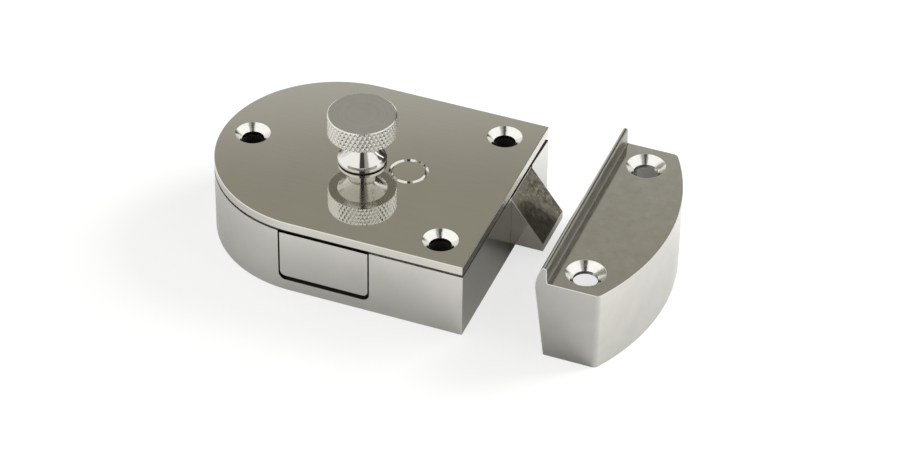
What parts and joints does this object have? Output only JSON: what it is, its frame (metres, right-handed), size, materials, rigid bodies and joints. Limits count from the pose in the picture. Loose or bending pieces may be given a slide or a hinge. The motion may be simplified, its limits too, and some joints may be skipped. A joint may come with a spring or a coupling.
{
  "type": "gate latch",
  "caption": "Rim gate latch with a sprung bevelled bolt drawn back by a knurled turn knob or a side push button, and its cast keeper.",
  "frame": {"origin": "midway between the two screw holes at the strike end, on the mounting face of the case", "axes": "+X out of the case with the bolt, +Y across the case away from the push button, +Z from the mounting face to the knob"},
  "size_m": [0.1168, 0.06, 0.0349],
  "materials": {
    "case_nickel": "polished nickel plate on the case and the push button",
    "cover_nickel": "lapped and polished nickel plate with faint straight lapping lines",
    "bolt_nickel": "polished nickel plate with fine rubbing marks along the slide",
    "keeper_nickel": "polished nickel plate on a casting",
    "knob_nickel": "turned, with a matt top and a diamond knurl, nickel plated",
    "bronze": "plain sintered bronze",
    "spring_steel": "drawn spring wire",
    "screw_steel": "plain stainless screws",
    "black_nylon": "matt black nylon"
  },
  "bodies": {
    "case": {"case_body": "case_nickel", "cover_plate": "cover_nickel", "cover_screws": "screw_steel", "cover_bush": "bronze", "floor_bush": "bronze", "bolt_spring": "spring_steel", "spring_rod": "screw_steel", "button_springs": "spring_steel", "knob_washer": "black_nylon"},
    "knob_group": {"knob": "knob_nickel", "knob_grub_screw": "screw_steel", "spindle": "screw_steel", "follower": "bronze", "bolt_drive_pin": "screw_steel", "button_drive_pin": "screw_steel"},
    "bolt": {"latch_bolt": "bolt_nickel"},
    "button": {"push_button": "case_nickel", "button_plunger": "bronze", "plunger_screws": "screw_steel", "guide_pins": "screw_steel"},
    "keeper": {"keeper": "keeper_nickel"}
  },
  "joints": [
    {"name": "knob_turn", "type": "hinge", "parent": "case", "child": "knob_group", "pos_m": [-0.0292, 0, 0.021], "axis": [0, 0, 1], "range_deg": [0, 45.47]},
    {"name": "bolt_slide", "type": "slide", "parent": "case", "child": "bolt", "axis": [-1, 0, 0], "range_m": [0, 0.0085], "stiffness_N_per_m": 300, "springref_m": -0.01, "deforming": ["bolt_spring"]},
    {"name": "button_press", "type": "slide", "parent": "case", "child": "button", "axis": [0, 1, 0], "range_m": [0, 0.0066], "stiffness_N_per_m": 100, "springref_m": -0.005, "deforming": ["button_springs"]},
    {"name": "keeper_approach", "type": "slide", "parent": "case", "child": "keeper", "axis": [-1, 0, 0], "range_m": [0, 0.015]}
  ],
  "couplings": [
    {"joint": "knob_turn", "follows": "bolt_slide", "rad_per_m": 93.344},
    {"joint": "button_press", "follows": "bolt_slide", "ratio": 0.77273}
  ]
}
